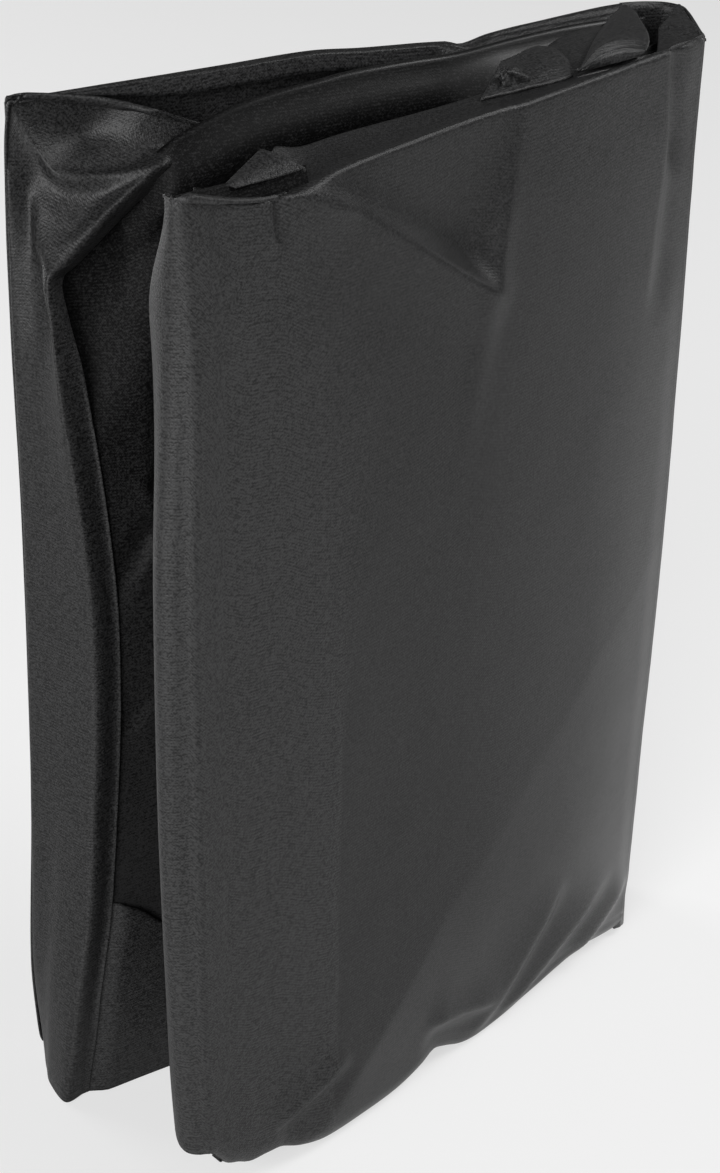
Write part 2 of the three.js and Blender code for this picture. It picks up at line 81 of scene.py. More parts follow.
def follow(points, place):
    """A smooth line through points of (place, value)."""
    if place <= points[0][0]:
        return points[0][1]
    if place >= points[-1][0]:
        return points[-1][1]
    index = max(i for i, point in enumerate(points) if point[0] <= place)
    (x0, y0), (x1, y1) = points[index], points[index + 1]
    before = points[max(index - 1, 0)]
    after = points[min(index + 2, len(points) - 1)]
    slope0 = (y1 - before[1]) / (x1 - before[0])
    slope1 = (after[1] - y0) / (after[0] - x0)
    width, share = x1 - x0, (place - x0) / (x1 - x0)
    square, cube = share * share, share ** 3
    return (y0 * (2 * cube - 3 * square + 1) + y1 * (3 * square - 2 * cube)
            + width * (slope0 * (cube - 2 * square + share) + slope1 * (cube - square)))


def bend(distance, softness):
    """Nothing before a line and a straight slope after it, with a rounded change between."""
    if distance > 30 * softness:
        return distance
    return softness * log(1 + exp(distance / softness))


def leaf_place(side, along, out, up):
    """A point of a leaf: along it from the fold, outward from the V, and up."""
    x = -along * cos(HALF_OPENING) + out * sin(HALF_OPENING)
    y = along * sin(HALF_OPENING) + out * cos(HALF_OPENING)
    return FOLD_PLACE + Vector((x, side * y, up))


def from_line(along, up, start, end):
    """Signed distance from a line of the face and the share of its length, both ends in metres."""
    run = Vector(end) - Vector(start)
    offset = Vector((along, up)) - Vector(start)
    share = offset.dot(run) / run.length_squared
    return (offset.x * run.y - offset.y * run.x) / run.length, share


def crease(along, up, start, end, high, hollow, near, far, fade):
    """A fold along a line: a soft slope on one side and a steep fall into a hollow on the other.

    high and hollow are its height and depth, near and far the widths of its two sides, and fade
    the share of its length over which each end dies away.
    """
    away, share = from_line(along, up, start, end)
    strength = smooth(-fade, fade, share) * (1 - smooth(1 - fade * 0.5, 1 + fade, share))
    if strength <= 0:
        return 0.0
    if away < 0:
        return strength * high * exp(-((-away / far) ** 1.4))
    steep = (high + hollow) * exp(-((away / near) ** 1.5))
    return strength * (steep - hollow * exp(-((away / (2.5 * near)) ** 2)))


def unrest(place, scale, seed):
    """Slow unevenness of loose cloth, from -1 to 1."""
    point = place / scale + Vector((seed * 7.3, seed * 3.1, seed))
    return noise.noise(point) * 0.7 + noise.noise(point * 2.3) * 0.3


def glide(points, share):
    """A smooth line through evenly numbered points."""
    last = len(points) - 1
    index = min(int(share * last), last - 1)
    part = share * last - index
    start, end = points[index], points[index + 1]
    before = points[index - 1] if index else start * 2 - end
    after = points[index + 2] if index + 2 <= last else end * 2 - start
    square = (before * 2 - start * 5 + end * 4 - after) * part ** 2
    cube = (start * 3 - before - end * 3 + after) * part ** 3
    return 0.5 * (start * 2 + (end - before) * part + square + cube)


def cloth_piece(name, columns, rows, place, turned=False, thickness=CLOTH_THICKNESS,
                state=lambda u, v: (0.5, 0.0)):
    """A sheet made from a grid.

    place and state are functions of the shares of its two sides: one gives each point's place and
    the other its slack, which also paints light, and its glaze. The weave's UV map measures the
    cloth along its own threads.
    """
    mesh = bpy.data.meshes.new(name)
    grid = bmesh.new()
    bmesh.ops.create_grid(grid, x_segments=columns, y_segments=rows, size=0.5)
    slack_and_sheen_layer, glazed = (grid.verts.layers.float.new(layer) for layer in ("slack_and_sheen", "glaze"))
    spots = {}
    for vert in grid.verts:
        u, v = vert.co.x + 0.5, vert.co.y + 0.5
        vert.co = place(u, v)
        vert[slack_and_sheen_layer], vert[glazed] = state(u, v)
        spots[round(u * columns), round(v * rows)] = vert
    across, upward = {}, {}
    for column in range(columns + 1):
        for row in range(rows + 1):
            vert = spots[column, row]
            before, below = spots.get((column - 1, row)), spots.get((column, row - 1))
            across[vert] = across[before] + (vert.co - before.co).length if before else 0.0
            upward[vert] = upward[below] + (vert.co - below.co).length if below else 0.0
    weave = grid.loops.layers.uv.new("weave")
    for face in grid.faces:
        for loop in face.loops:
            loop[weave].uv = (across[loop.vert], upward[loop.vert])
    if turned:
        bmesh.ops.reverse_faces(grid, faces=grid.faces)
    grid.to_mesh(mesh)
    grid.free()
    mesh.shade_smooth()
    piece = bpy.data.objects.new(name, mesh)
    bpy.context.scene.collection.objects.link(piece)
    rim = piece.modifiers.new("thickness", "SOLIDIFY")
    rim.thickness = thickness
    rim.offset = -1
    return piece


def lofted(side, net, ruffle, scale=0.02):
    """Places a sheet on a leaf by rows of points of (along, out, up) in millimetres."""
    lines = [[Vector(point) * 0.001 for point in row] for row in net]

    def place(u, v):
        along, out, up = glide([glide(line, u) for line in lines], v)
        shift = ruffle * unrest(Vector((along, out * 2, up)), scale, 1)
        return leaf_place(side, along + shift * 0.5, out + shift, up + shift)

    return place


def front_top(along):
    return PACKET_HEIGHT * follow(FRONT_TOP, along / LEAF_LENGTH)


def front_foot(along):
    tip = 0.003 * exp(-(((along - 0.2465) / 0.0045) ** 2))
    return PACKET_HEIGHT * follow(FRONT_FOOT, along / LEAF_LENGTH) - tip


def drawn_in(along):
    """How far the outer face falls back towards the spine fold."""
    return 0.0030 * max(0, (0.075 - along) / 0.060) ** 2


def mouth_corner(up):
    return LEAF_LENGTH * follow(MOUTH_CORNER, up / PACKET_HEIGHT)


PINCH_START, PINCH_APEX, PINCH_SIDE = (0.212, 0.3665), (0.124, 0.309), (0.117, 0.345)
LEFT_START, LEFT_FACET = 0.191, 0.045
LOWER_LINE, LOWER_FACET = ((0.021, 0.177), (0.174, 0.038)), 0.035


def pinch(along, up):
    """The long ridge below the top edge and the three-cornered hollow over its lower end."""
    above, share = from_line(along, up, PINCH_START, PINCH_APEX)
    beside, _ = from_line(along, up, PINCH_APEX, PINCH_SIDE)
    reach = (Vector((along, up)) - Vector(PINCH_APEX)).length
    strength = smooth(-0.05, 0.15, share) * (1 - smooth(0.94, 1.12, share))
    ridge = exp(-((abs(above) / (0.006 if above > 0 else 0.011)) ** 1.4))
    height = (0.0028 + 0.0014 * share) * strength * ridge
    if above > 0 and beside > 0:
        hollow = 0.0078 * (1 - exp(-above / 0.005)) * (1 - exp(-beside / 0.007))
        height -= hollow * exp(-((reach / 0.048) ** 2))
    return height + 0.0012 * exp(-((beside / 0.006) ** 2)) * exp(-((reach / 0.035) ** 2))


# Each row: start, end, high, hollow, near, far, fade. Three folds at the mouth corner, one down its
# edge, the two darts at the fold, and five creases at the foot.
FRONT_CREASES = [
    ((0.2225, 0.364), (0.2215, 0.349), 0.0020, 0.0022, 0.0022, 0.003, 0.3),
    ((0.2160, 0.350), (0.2180, 0.364), 0.0014, 0.0022, 0.0022, 0.003, 0.3),
    ((0.217, 0.364), (0.193, 0.353), 0.0014, 0.0012, 0.003, 0.006, 0.3),
    ((0.252, 0.366), (0.232, 0.325), 0.0010, 0.0010, 0.005, 0.009, 0.3),
    ((0.037, 0.374), (0.0345, 0.335), 0.0002, 0.0034, 0.0030, 0.006, 0.3),
    ((0.034, 0.350), (0.040, 0.290), 0.0004, 0.0030, 0.006, 0.012, 0.3),
    ((0.070, 0.048), (0.108, 0.012), 0.0032, 0.0034, 0.0060, 0.011, 0.25),
    ((0.040, 0.036), (0.090, 0.010), 0.0028, 0.0032, 0.0055, 0.010, 0.25),
    ((0.020, 0.028), (0.047, 0.011), 0.0022, 0.0024, 0.0050, 0.008, 0.25),
    ((0.106, 0.020), (0.137, 0.026), 0.0024, 0.0034, 0.0050, 0.008, 0.25),
    ((0.188, 0.036), (0.216, 0.027), 0.0028, 0.0034, 0.0050, 0.008, 0.25),
]


def left_stray(up):
    """How far the line where the slack left part starts wanders."""
    return 0.0025 * unrest(Vector((0, up, 3)), 0.09, 4)


def front_relief(along, up):
    """How far the outer face stands out from its plane."""
    crisp = 0.0025 + 0.012 * smooth(0.20, 0.30, up)
    height = -LEFT_FACET * bend(along - LEFT_START - left_stray(up) - 0.05 * max(0, up - 0.26), crisp)
    height -= LOWER_FACET * bend(from_line(along, up, *LOWER_LINE)[0], 0.0012)
    height += pinch(along, up)
    for fold in FRONT_CREASES:
        height += crease(along, up, *fold)
    height += 0.0007 * unrest(Vector((along, up, 0)), 0.085, 1) - 0.0006 * smooth(0.026, 0.015, along)
    return height + 0.0002 * unrest(Vector((along, up, 0)), 0.022, 2)


TOP_RADIUS, FOOT_RADIUS, CORNER_RADIUS, CORNER_LIFT = 0.0018, 0.009, 0.005, 0.006
DROP_ROWS, STRIP_ROWS, OVER_ROWS, FACE_ROWS, UNDER_ROWS, FOOT_ROWS = 5, 30, 5, 190, 10, 6
WRAP_ROWS = DROP_ROWS + STRIP_ROWS + OVER_ROWS + FACE_ROWS + UNDER_ROWS + FOOT_ROWS


def wrap_ring(top, foot, turn_in, foot_in, drop=0.008, lift=0.0002, dip=0.0010, pleat=lambda share: 0.0):
    """A sheet's path over a leaf's top, down it and under its foot, as points of (inward, up)."""
    ring = []
    drop *= smooth(0.002, 0.006, turn_in)
    for row in range(DROP_ROWS):
        share = row / DROP_ROWS
        ring.append((turn_in + 0.0008 * (1 - share), top + lift + pleat(0) - drop * (1 - share) ** 1.3))
    for row in range(STRIP_ROWS):
        share = row / STRIP_ROWS
        ring.append((turn_in + (TOP_RADIUS - turn_in) * share,
                     top + lift * (1 - share) ** 1.5 - dip * sin(pi * share) + pleat(share)))
    for row in range(OVER_ROWS):
        turn = pi / 2 * row / OVER_ROWS
        ring.append((TOP_RADIUS * (1 - sin(turn)), top - TOP_RADIUS * (1 - cos(turn))))
    high, low = top - TOP_RADIUS, foot + FOOT_RADIUS
    for row in range(FACE_ROWS):
        ring.append((0, high + (low - high) * row / FACE_ROWS))
    for row in range(UNDER_ROWS):
        turn = pi / 2 * row / UNDER_ROWS
        ring.append((FOOT_RADIUS * (1 - cos(turn)), low - FOOT_RADIUS * sin(turn)))
    for row in range(FOOT_ROWS + 1):
        share = row / FOOT_ROWS
        ring.append((FOOT_RADIUS + (foot_in - FOOT_RADIUS) * share, foot))
    return ring


def wrap_place(side, columns, start, outline, ring_at, relief):
    """Places a wrap: a ring stands at each column of the outline, which may round the mouth corner."""
    rings = [ring_at(start + (LEAF_LENGTH - start) * min(1, column / columns[0]))
             for column in range(sum(columns) + 1)]

    def place(u, v):
        column = round(u * sum(columns))
        row = round((1 - v) * WRAP_ROWS)
        inward, up = rings[column][row]
        along, out, run_along, run_out, reach = outline(column, up)
        if row < DROP_ROWS and reach < inward:
            up = rings[column][DROP_ROWS][1]
        if row > WRAP_ROWS / 2:
            lift = CORNER_LIFT * smooth(columns[0] - 5, sum(columns[:2]), column)
            up = max(up, rings[column][-1][1] + lift)
        below_top, above_foot = row - DROP_ROWS - STRIP_ROWS + 3, WRAP_ROWS - FOOT_ROWS - row
        edge = min(1, max(0, below_top) / 5, max(0, above_foot) / 8)
        edge *= smooth(sum(columns[:2]) + 1, columns[0], column)
        inward = min(inward, reach) - relief(along, up) * edge
        return leaf_place(side, along + run_along * inward, out + run_out * inward, max(up, FLOOR_GAP))

    return place


END_BULGE = [(0.06, 0.0045), (0.18, 0.0045), (0.31, 0.006), (0.46, 0.007), (0.7, 0.006), (0.83, 0.004),
             (0.92, 0.002), (1, 0.0)]
FRONT_COLUMNS = (150, 8, 14)
FRONT_START = 0.0145


def front_outline(column, up):
    """Where the front sheet stands, which way is inward, and how far inward it may go."""
    face, corner, end = FRONT_COLUMNS
    mouth = mouth_corner(up)
    if column <= face:
        share = column / face
        along = FRONT_START + (LEAF_LENGTH - CORNER_RADIUS - FRONT_START) * share
        reach = 0.0055 + 0.03 * smooth(0.99, 0.93, share)
        out = LEAF_THICKNESS - drawn_in(along)
        return along + (mouth - LEAF_LENGTH) * smooth(0.75, 1, share), out, 0, -1, reach
    if column <= face + corner:
        turn = pi / 2 * (column - face) / corner
        return (mouth - CORNER_RADIUS * (1 - sin(turn)), LEAF_THICKNESS - CORNER_RADIUS * (1 - cos(turn)),
                -sin(turn), -cos(turn), CORNER_RADIUS * 0.95 * cos(turn) + 0.0006)
    share = (column - face - corner) / end
    bulge = follow(END_BULGE, up / PACKET_HEIGHT) * sin(pi * share ** 0.8)
    width = (LEAF_THICKNESS - CORNER_RADIUS - 0.0006) * (1 - 0.72 * smooth(0.325, 0.368, up) ** 1.4)
    return mouth + bulge - 0.001 * share, LEAF_THICKNESS - CORNER_RADIUS - width * share, -1, 0, 0.0006


def front_ring(along):
    turn_in = LEAF_THICKNESS * (1 - follow(FRONT_RETURN, along / LEAF_LENGTH))
    lift = 0.0003 + 0.0020 * smooth(0.12, 0.19, along) + 0.0064 * exp(-(((along - 0.214) / 0.011) ** 2))
    lift *= smooth(0.003, 0.012, turn_in)
    return wrap_ring(front_top(along), front_foot(along), turn_in, LEAF_THICKNESS - 0.0045, lift=lift)


class Socket:
    """A shader value or colour that can be added, multiplied and passed on."""

    def __init__(self, tree, socket):
        self.tree, self.socket = tree, socket

    def put(self, target):
        self.tree.links.new(self.socket, target)

    def node(self, kind, socket_in=0, socket_out=0, links=(), **settings):
        made = self.tree.nodes.new(kind)
        for key, value in settings.items():
            setattr(made, key, value)
        self.tree.links.new(self.socket, made.inputs[socket_in])
        for key, value in dict(links).items():
            if isinstance(value, Socket):
                self.tree.links.new(value.socket, made.inputs[key])
            else:
                made.inputs[key].default_value = value
        return Socket(self.tree, made.outputs[socket_out])

    def math(self, operation, *others, clamp=False):
        made = self.tree.nodes.new("ShaderNodeMath")
        made.operation, made.use_clamp = operation, clamp
        for index, value in enumerate((self, *others)):
            if isinstance(value, Socket):
                self.tree.links.new(value.socket, made.inputs[index])
            else:
                made.inputs[index].default_value = value
        return Socket(self.tree, made.outputs[0])

    def tint(self, low, high):
        """A colour from low to high by this value."""
        made = self.tree.nodes.new("ShaderNodeMix")
        made.data_type = "RGBA"
        self.tree.links.new(self.socket, made.inputs["Factor"])
        made.inputs[6].default_value, made.inputs[7].default_value = (*low, 1), (*high, 1)
        return Socket(self.tree, made.outputs[2])

    def __add__(self, other):
        return self.math("ADD", other)

    def __mul__(self, other):
        return self.math("MULTIPLY", other)

    def __sub__(self, other):
        return self.math("SUBTRACT", other)

    def __rsub__(self, other):
        return self.math("MULTIPLY", -1.0).math("ADD", other)

    __radd__, __rmul__ = __add__, __mul__


def cloth_material(name, low, high, fade=0.0, roughness=0.46, shine=0.35):
    """Coated woven polyester, cloudy and dusty, crinkled and with painted light where slack, glazed where
    rubbed.

    fade paints shade: it darkens the cloth with height, for plies that lie in the gap.
    """
    material = bpy.data.materials.new(name)
    material.use_nodes = True
    tree = material.node_tree
    shader = tree.nodes["Principled BSDF"]
    uv = tree.nodes.new("ShaderNodeUVMap")
    uv.uv_map = "weave"
    cloth = Socket(tree, uv.outputs[0])
    body = Socket(tree, tree.nodes.new("ShaderNodeTexCoord").outputs["Object"])
    states = []
    for layer in ("slack_and_sheen", "glaze"):
        attribute = tree.nodes.new("ShaderNodeAttribute")
        attribute.attribute_name = layer
        states.append(Socket(tree, attribute.outputs["Fac"]))
    slack_and_sheen, glaze = states
    wander = body.node("ShaderNodeTexNoise", 0, 0, {"Scale": 45.0, "Detail": 3.0})
    across = cloth.node("ShaderNodeSeparateXYZ", 0, 0)
    upward = cloth.node("ShaderNodeSeparateXYZ", 0, 1)
    turn = 2 * pi / WEAVE_PITCH
    warp = (across * turn + wander * 3.5).math("SINE")
    weft = (upward * turn + wander * 3.5).math("SINE")
    threads = (warp * weft) * 0.25 + weft * 0.2 + 0.5
    grain = body.node("ShaderNodeTexNoise", 0, 0, {"Scale": 1250.0, "Detail": 1.0})
    crinkle = body.node("ShaderNodeTexNoise", 0, 0, {"Scale": 210.0, "Detail": 3.0, "Roughness": 0.6})
    stretched = cloth.node("ShaderNodeVectorMath", 0, 0, {1: (300.0, 1400.0, 1.0)}, operation="MULTIPLY")
    streaks = stretched.node("ShaderNodeTexNoise", 0, 0, {"Scale": 1.0, "Detail": 2.0})
    clouds = body.node("ShaderNodeTexNoise", 0, 0, {"Scale": 11.0, "Detail": 4.0, "Roughness": 0.6})
    dust = body.node("ShaderNodeTexVoronoi", 0, 0, {"Scale": 70.0}).math("LESS_THAN", 0.028)
    tone = (grain - 0.5) * (slack_and_sheen * 2.2 + 1.4) + (streaks - 0.5) * slack_and_sheen * 3.0
    tone = tone + (threads - 0.5) * (slack_and_sheen * 1.0 + 0.15)
    # The slack value's lightening of the colour is painted light; its grain, streaks and crinkle are the
    # cloth's own.
    tone = tone + (clouds - 0.5) * 0.5 + slack_and_sheen * 0.40 + dust * 0.5 + 0.32
    # Painted shade: darker with height.
    if fade:
        tone = tone + (0.2 - body.node("ShaderNodeSeparateXYZ", 0, 2)) * fade
    tone.math("MAXIMUM", 0.0, clamp=True).tint(low, high).put(shader.inputs["Base Color"])
    (roughness - 0.05 + clouds * 0.10 + (1 - threads) * 0.06).put(shader.inputs["Roughness"])
    height = threads * WEAVE_DEPTH * 0.6 + grain * (slack_and_sheen * 0.0003 + 0.0001) + streaks * slack_and_sheen * 0.0003
    height = height + crinkle * (slack_and_sheen * 0.0004 + 0.00006)
    bump = height.node("ShaderNodeBump", "Height", 0, {"Strength": 0.6, "Distance": 1.0})
    bump.put(shader.inputs["Normal"])
    shader.inputs["Specular IOR Level"].default_value = shine
    glaze.put(shader.inputs["Coat Weight"])
    shader.inputs["Coat Roughness"].default_value = 0.34
    return material


OPEN_CLOTH = cloth_material("open cloth", (0.003, 0.003, 0.0032), (0.029, 0.029, 0.0295))


def dress(piece, material, slot, body, *nodes, held="folded", flat=None, area=None):
    """Finishes a sheet: its cloth, what it stands for and what it moves with; its cut size is not used.
    """
    piece.data.materials.append(material)
    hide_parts(*nodes)
    if body:
        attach(piece, body)


def front_state(u, v):
    """Slack cloth towards the mouth, taut in the middle, glazed at the foot and towards the fold; slack
    also carries painted light.
    """
    column, row = round(u * sum(FRONT_COLUMNS)), round((1 - v) * WRAP_ROWS)
    along = front_outline(column, 0.2)[0]
    above = DROP_ROWS + STRIP_ROWS
    up = PACKET_HEIGHT * (1 - (row - above) / (WRAP_ROWS - above - FOOT_ROWS))
    soft = 0.0015 + 0.026 * smooth(0.16, 0.30, up)
    left = smooth(LEFT_START - soft, LEFT_START + soft,
                  along - left_stray(up) - 0.02 * smooth(0.27, 0.36, up))
    left *= 1 - 0.3 * smooth(0.30, 0.36, up)
    lower = smooth(-0.0015, 0.002, from_line(along, up, *LOWER_LINE)[0])
    # The mouth part is slack cloth with painted light; the top near the fold gets painted light.
    slack_and_sheen = 0.12 + 0.65 * left + 0.25 * smooth(0.28, 0.36, up) * smooth(0.15, 0.05, along)
    # Painted highlight along the rounded edge at the fold, with more grain.
    slack_and_sheen += 0.3 * smooth(0.085, 0.015, along)
    glaze = 0.02 + 0.07 * lower * (1 - left) + 0.34 * smooth(0.150, 0.030, along)
    glaze += 0.3 * lower * smooth(0.09, 0.03, up)
    glaze += 0.45 * smooth(0.070, 0.010, along) * smooth(0.40, 0.22, up)
    return min(1, slack_and_sheen), glaze * smooth(0.372, 0.362, up)


front_place = wrap_place(FRONT, FRONT_COLUMNS, FRONT_START, front_outline, front_ring, front_relief)
front_wrap = cloth_piece("front_wrap_cloth", sum(FRONT_COLUMNS), WRAP_ROWS, front_place, turned=True,
                         state=front_state)
dress(front_wrap, OPEN_CLOTH, "coated_cloth", "front_leaf", "front_wrap", "front_end_panel",
      flat=(0.26, 0.42))


# Front corner ply
# At the mouth corner the ply behind the sheet shows above its sagging edge, as a narrow strip.
# A darker copy of the coated cloth: painted shade for the plies in the gap and inside the leaves, with
# more painted shade towards the top.
SHADED_INNER_CLOTH = cloth_material("shaded inner cloth", (0.0015, 0.0015, 0.0016), (0.020, 0.020, 0.0203),
                             fade=3.0, roughness=0.60, shine=0.14)
CORNER_PLY = [[(249, 17, 360), (243, 18, 356), (234, 18.5, 355),
               (224, 18.5, 355), (213, 19.5, 356), (205, 20, 357)],
              [(250.5, 15, 364), (244, 15.5, 362), (235, 16, 361),
               (225, 16.5, 361), (214, 18, 361), (206, 19.5, 361)],
              [(252, 12.5, 367.6), (244.5, 13, 367.3), (235.5, 13.4, 367),
               (225.5, 14.4, 366.8), (215.5, 16.2, 367), (206.5, 18.6, 367.6)],
              [(251.8, 12, 367.9), (244.5, 12.2, 367.8), (235.5, 12.4, 367.5),
               (225.5, 13.4, 367.3), (215.3, 15.2, 367.5), (206, 17.6, 368)],
              [(251, 11.5, 366), (244.5, 11, 366), (235.5, 11, 366),
               (225.5, 12, 366), (215, 14, 366), (206, 16.5, 366.5)]]
corner_ply = cloth_piece("front_corner_ply_cloth", 40, 24, lofted(FRONT, CORNER_PLY, 0.0004))
dress(corner_ply, SHADED_INNER_CLOTH, "coated_cloth", "front_leaf", "front_corner_ply", flat=(0.042, 0.021))


# Front roll end
# The turned strip ends in an open roll, and its folded end is a three-cornered facet.
ROLL_END = [[(234.5, 12.6, 366.6), (233.6, 13.4, 367.0), (232.4, 14.2, 367.0), (231.0, 15.4, 366.4)],
            [(231.6, 12.2, 367.6), (230.2, 13.6, 368.1), (228.4, 15.0, 367.8), (226.0, 16.6, 366.9)],
            [(224.6, 10.6, 369.8), (222.6, 12.6, 370.0), (220.4, 15.0, 369.2), (217.4, 18.2, 367.5)],
            [(217.4, 9.2, 372.2), (215.6, 12.0, 371.8), (213.4, 15.6, 370.6), (210.0, 19.8, 368.3)],
            [(214.8, 8.7, 372.8), (213.6, 11.8, 372.3), (211.6, 15.6, 371.0), (208.6, 19.9, 368.6)],
            [(211.0, 8.4, 371.2), (210.2, 11.6, 370.4), (209.2, 15.4, 369.2), (207.4, 19.6, 367.4)]]
roll_end = cloth_piece("front_roll_end_cloth", 24, 30, lofted(FRONT, ROLL_END, 0.0002))
dress(roll_end, OPEN_CLOTH, "coated_cloth", "front_leaf", "front_roll_facet", flat=(0.0155, 0.016))


# Corner flap
# A loose corner of cloth that stands up behind the turned strip, rounded towards the fold.
# A lighter copy of the coated cloth: painted light on the loose pieces at the top.
LIT_LOOSE_CLOTH = cloth_material("corner cloth painted light", (0.005, 0.005, 0.0052), (0.036, 0.036, 0.0365))
FLAP = [[(119.5, 8.8, 368.8), (109, 10.6, 369.0), (99, 12, 369.2),
         (89, 13.2, 369.2), (81, 13.4, 369.2), (76, 11, 369.2)],
        [(113.5, 5.8, 370.2), (104.5, 7.0, 370.6), (95.5, 8.0, 371.0),
         (86.5, 8.6, 371.6), (76.5, 8.2, 371.6), (70.0, 6.2, 368.6)],
        [(107.5, 2.6, 371.6), (99.5, 3.0, 372.0), (91.5, 3.2, 372.4),
         (83.5, 3.0, 373.4), (72.6, 1.8, 373.2), (66.0, -0.2, 369.4)],
        [(101.5, -0.4, 373.0), (95, -0.8, 373.2), (88, -1.2, 373.4),
         (80.5, -1.8, 374.2), (70.8, -3.4, 373.8), (65.0, -5.0, 369.8)],
        [(96.5, -3.1, 374.1), (91, -4, 374.2), (85.5, -5, 374.2),
         (79, -6.2, 374.4), (72.0, -7.4, 373.8), (66.8, -8.6, 370.4)]]
flap = cloth_piece("corner_flap_cloth", 40, 28, lofted(FRONT, FLAP, 0.0005, 0.012))
dress(flap, LIT_LOOSE_CLOTH, "coated_cloth_light", "front_leaf", "corner_flap", flat=(0.043, 0.016))


# Bridge ply
# Between the flap and the tongue the next ply crosses the narrow end of the gap, from leaf to leaf.
BRIDGE = [[(-63.0, 6.6, 367.6), (-54.0, 8.4, 370.4),
           (-43.3, 10.4, 371.4), (-27.0, 13.4, 371.6), (-16.0, 14.6, 371.2)],
          [(-70.0, -4.0, 367.4), (-61.0, -2.0, 370.2),
           (-51.0, 0.4, 371.4), (-37.0, 2.8, 371.8), (-27.0, 3.4, 371.0)],
          [(-77.0, -14.0, 366.8), (-69.0, -13.0, 369.6),
           (-60.0, -12.0, 370.8), (-49.0, -11.0, 371.0), (-40.0, -11.0, 370.2)],
          [(-84.5, -26.0, 366.4), (-76.5, -26.5, 368.8),
           (-69.5, -27.0, 369.4), (-61.0, -27.0, 369.4), (-55.0, -27.0, 368.8)]]


def plan_lofted(net):
    """Places a sheet over the fold by rows of (x, y, up), in millimetres from the fold's axis."""
    lines = [[Vector(point) * 0.001 for point in row] for row in net]
    return lambda u, v: FOLD_PLACE + glide([glide(line, u) for line in lines], v)


bridge = cloth_piece("bridge_ply_cloth", 40, 30, plan_lofted(BRIDGE), turned=True)
dress(bridge, LIT_LOOSE_CLOTH, "coated_cloth_light", "back_leaf", flat=(0.042, 0.034))


# Seam tuft
# The crumpled end of a sewn seam, gathered to a knot of cloth in front of the flap.
TUFT_ALONG, TUFT_OUT, TUFT_UP, TUFT_HEIGHT = 0.1005, 0.0065, 0.3688, 0.0085


def tuft_place(u, v):
    turn, rise = 2 * pi * u, v
    pleat = 1 + 0.20 * sin(3 * turn + 5 * rise) + 0.13 * sin(7 * turn - 6 * rise)
    width = (0.0044 * (1 - rise) ** 0.5 + 0.0014) * pleat
    lean = 0.004 * rise
    along = TUFT_ALONG + width * cos(turn) + lean
    out = TUFT_OUT + 0.62 * width * sin(turn)
    return leaf_place(FRONT, along, out, TUFT_UP + TUFT_HEIGHT * rise ** 0.8 * (1 - 0.25 * rise))


tuft = cloth_piece("seam_tuft_cloth", 48, 16, tuft_place, thickness=0.0006)
dress(tuft, OPEN_CLOTH, "coated_cloth", "front_leaf", "seam_tuft", flat=(0.026, 0.0105), held="gathered")


# Front inner ply
# The ply that faces the V, with the slow waves of loose cloth.
INNER_START = 0.018


def front_inner_place(u, v):
    along = INNER_START + (LEAF_LENGTH - 0.0205) * u
    foot = front_foot(along) + 0.010 * smooth(0.225, 0.245, along)
    top = front_top(along) - 0.0045
    up = foot + (top - foot) * v
    along -= 0.016 * u * smooth(0.315, 0.362, up)
    wave = 0.0006 * sin(19 * u + 2 * v) + 0.0009 * unrest(Vector((along, up, 9)), 0.06, 5)
    edge = min(1, 8 * v, 8 * (1 - v), 8 * (1 - u), 8 * u)
    return leaf_place(FRONT, along, 0.0012 + wave * edge, up)


front_inner = cloth_piece("front_inner_cloth", 70, 90, front_inner_place)
dress(front_inner, SHADED_INNER_CLOTH, "coated_cloth_shade", "front_leaf", "front_inner_ply", flat=(0.235, 0.36))


# Ply stacks
# The cover's inner plies: one long strip folded to and fro inside each leaf, held between the wraps.
PLIES, PLY_THICKNESS = 12, 0.0007
STACK_INNER, STACK_OUTER = 0.0026, 0.0172
STACK_START, STACK_END = 0.0205, 0.246
STACK_FOOT = 0.0098


def stack_place(side, inner, outer, end, top, foot, room=lambda along, up: 1):
    """Places a strip folded to and fro between the fold and the mouth, its turns rounded.

    top and foot are heights by the place along the leaf. room is the share of the thickness that
    is free at a place. The number of columns comes with the place.
    """
    pitch = (outer - inner) / (PLIES - 1)
    run_columns, turn_columns = 30, 5
    path = []
    for ply in range(PLIES):
        out = inner + pitch * ply
        near, far = (STACK_START, end) if ply % 2 == 0 else (end, STACK_START)
        for step in range(run_columns):
            path.append((near + (far - near) * step / run_columns, out))
        if ply < PLIES - 1:
            sense = 1 if ply % 2 == 0 else -1
            for step in range(turn_columns):
                turn = pi * step / turn_columns
                path.append((far + sense * 0.5 * pitch * sin(turn), out + 0.5 * pitch * (1 - cos(turn))))
    path.append((far, out))

    def place(u, v):
        along, out = path[round(u * (len(path) - 1))]
        low, high = foot(along), top(along)
        stray = 0.0012 * unrest(Vector((along * 0.4, out * 8, 0)), 0.02, 6)
        up = low + (high + stray - low) * v
        return leaf_place(side, along, inner + (out - inner) * room(along, up), up)

    return len(path) - 1, place


def front_room(along, up):
    """The share of the stack's thickness that fits behind the outer face."""
    face = LEAF_THICKNESS - drawn_in(along) + min(0, front_relief(along, up) + 0.001)
    return min(1, (face - 0.0036 - STACK_INNER) / (STACK_OUTER - STACK_INNER))


def front_stack_top(along):
    """The stack ends below the turned strip, and lower at the mouth corner."""
    return front_top(along) - 0.0052 - 0.05 * smooth(0.232, STACK_END, along)


def front_stack_foot(along):
    return front_foot(along) + STACK_FOOT


columns, place = stack_place(FRONT, STACK_INNER, STACK_OUTER, STACK_END,
                             front_stack_top, front_stack_foot, front_room)
front_stack = cloth_piece("front_ply_stack_cloth", columns, 48, place, thickness=PLY_THICKNESS)
dress(front_stack, SHADED_INNER_CLOTH, "coated_cloth_shade", "front_leaf", "front_ply_stack",
      flat=(PLIES * 0.228, 0.35))


